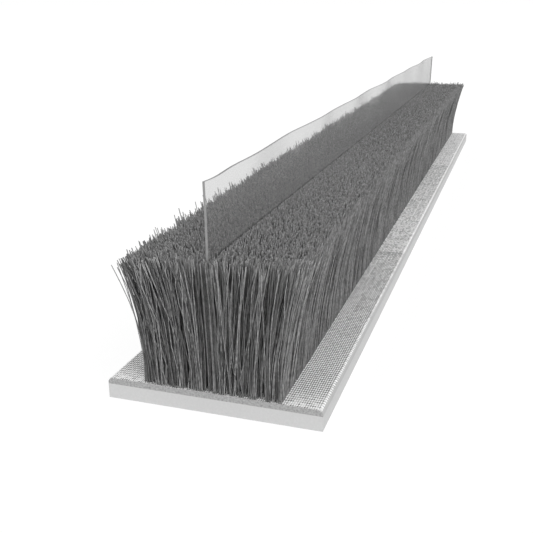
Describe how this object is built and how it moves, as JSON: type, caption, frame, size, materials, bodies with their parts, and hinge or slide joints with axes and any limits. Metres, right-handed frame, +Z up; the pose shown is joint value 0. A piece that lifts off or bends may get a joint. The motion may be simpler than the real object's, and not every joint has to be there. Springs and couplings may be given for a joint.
{
  "type": "brush seal strip",
  "caption": "Short straight length of woven pile weatherstrip: flat backing, ground fabric, cut pile in two halves and a clear film fin standing up between them.",
  "frame": {"origin": "centre of the flat underside of the backing", "axes": "+Y along the strip, +X across its width, +Z up from the backing to the fin's free edge"},
  "size_m": [0.0066, 0.0506, 0.007],
  "materials": {
    "backing": "matt, very fine grain",
    "ground_weave": "fine plain weave, pale grey threads over darker gaps",
    "pile_filament": "dense cut filaments with a dull sheen",
    "film": "clear glossy polypropylene film"
  },
  "bodies": {
    "root": {"backing_strip": "backing", "ground_fabric": "ground_weave", "pile_left": "pile_filament", "pile_right": "pile_filament", "fin": "film"}
  },
  "joints": []
}
